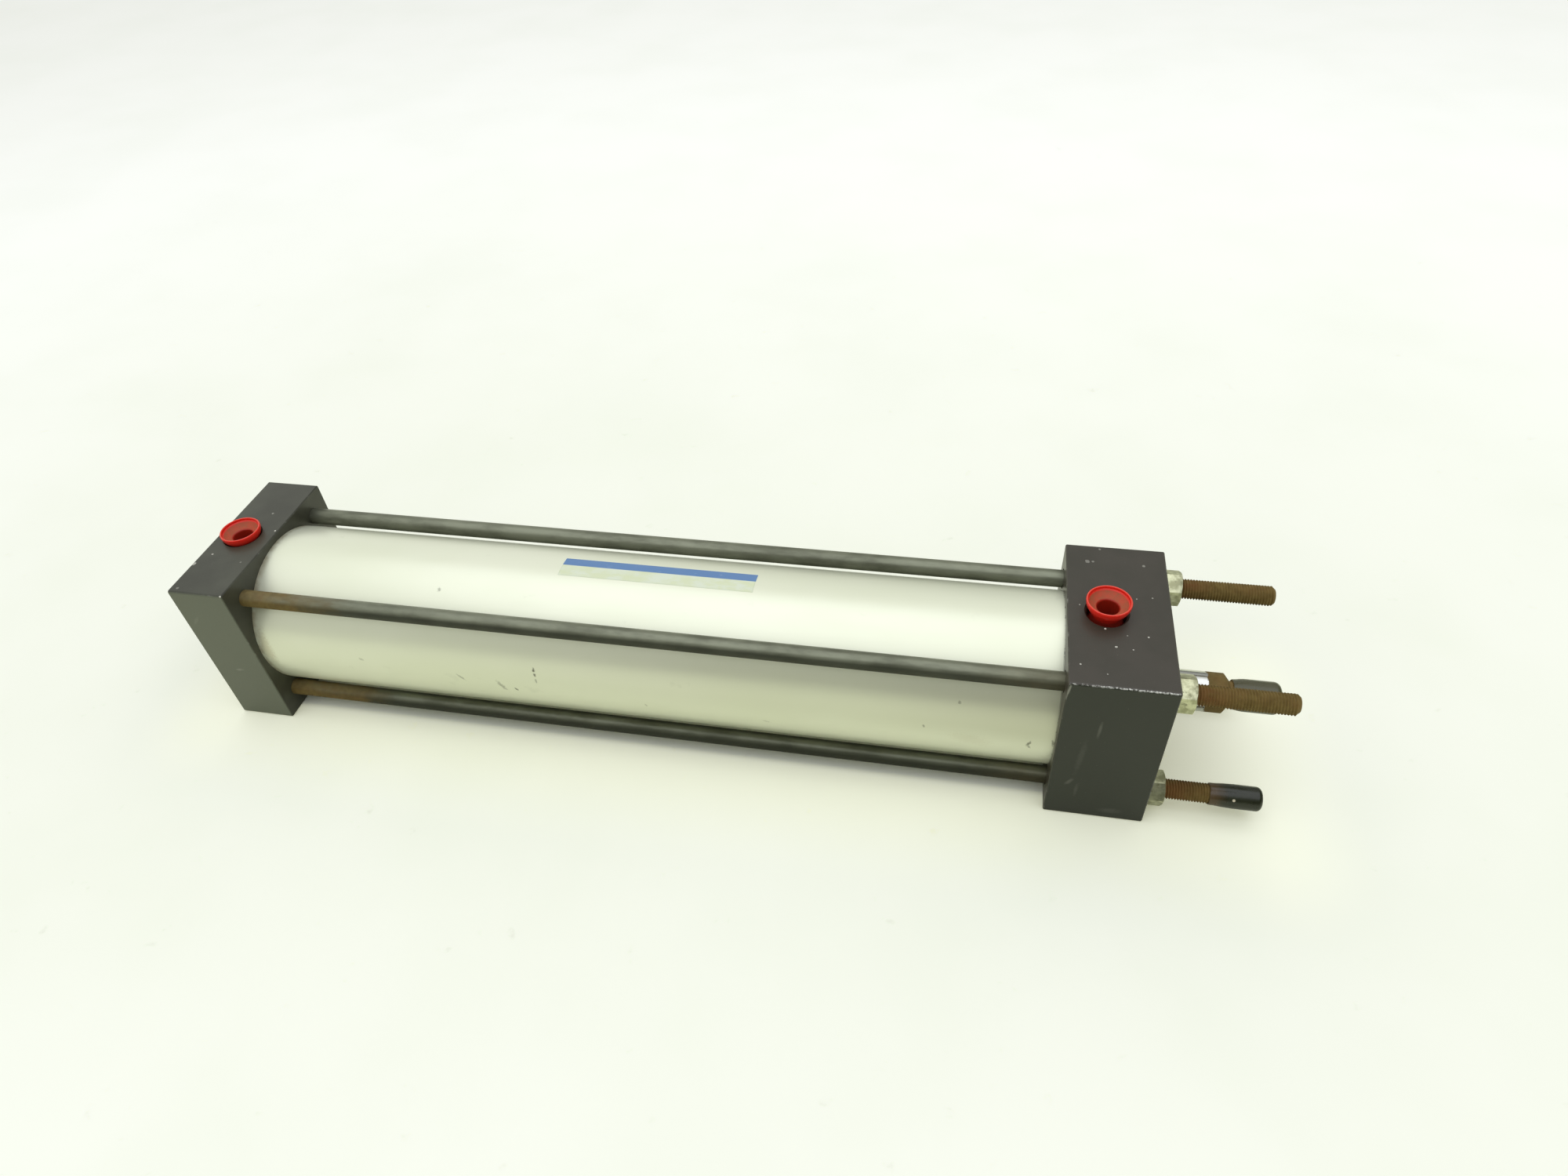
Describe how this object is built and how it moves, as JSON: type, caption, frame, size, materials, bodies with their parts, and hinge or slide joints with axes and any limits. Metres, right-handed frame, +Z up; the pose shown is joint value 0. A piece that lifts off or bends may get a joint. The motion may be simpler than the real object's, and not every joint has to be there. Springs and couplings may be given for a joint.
{
  "type": "pneumatic cylinder",
  "caption": "Double-acting tie-rod air cylinder with square black end blocks, a round barrel, a sliding and turning piston rod, studs at the rod end and plugged ports.",
  "frame": {"origin": "centre of the front head's outer face, on the axis of the bore", "axes": "+X along the axis towards the rod end, +Z up through the two ports, +Y across"},
  "size_m": [0.447, 0.0762, 0.0822],
  "materials": {
    "black_anodised": "satin black anodised, worn at an edge",
    "clear_anodised": "satin clear anodised, drawn along its length",
    "seal_rubber": "moulded black",
    "dark_steel": "dark mill finish, rusty at the ends",
    "zinc_steel": "zinc plated",
    "chromed_steel": "ground and chromed, rusty at the wrench flats",
    "bare_aluminium": "turned",
    "wear_plastic": "filled plastic",
    "bronze": "sintered",
    "wiper_rubber": "moulded black",
    "red_plastic": "moulded red, translucent at its thin edges",
    "black_vinyl": "dipped, satin"
  },
  "bodies": {
    "cylinder_body": {"rear_cap": "black_anodised", "front_head": "black_anodised", "barrel": "clear_anodised", "barrel_seal_rear": "seal_rubber", "barrel_seal_front": "seal_rubber", "tie_rod_near_upper": "dark_steel", "tie_rod_far_upper": "dark_steel", "tie_rod_near_lower": "dark_steel", "tie_rod_far_lower": "dark_steel", "tie_rod_nut_near_upper": "zinc_steel", "tie_rod_nut_far_upper": "zinc_steel", "tie_rod_nut_near_lower": "zinc_steel", "tie_rod_nut_far_lower": "zinc_steel", "rod_bushing": "bronze", "rod_seal": "seal_rubber", "rod_wiper": "wiper_rubber", "port_plug_rear": "red_plastic", "port_plug_front": "red_plastic", "stud_cap": "black_vinyl"},
    "piston_rings": {"piston_seal_rear": "seal_rubber", "piston_seal_front": "seal_rubber", "piston_wear_band": "wear_plastic"},
    "piston_and_rod": {"piston_rod": "chromed_steel", "piston": "bare_aluminium", "piston_static_seal": "seal_rubber", "piston_nut": "zinc_steel", "rod_thread_cap": "black_vinyl"}
  },
  "joints": [
    {"name": "rod_slide", "type": "slide", "parent": "cylinder_body", "child": "piston_rings", "axis": [1, 0, 0], "range_m": [0, 0.3048]},
    {"name": "rod_turn", "type": "hinge", "parent": "piston_rings", "child": "piston_and_rod", "pos_m": [0, 0, 0], "axis": [1, 0, 0], "continuous": true}
  ]
}
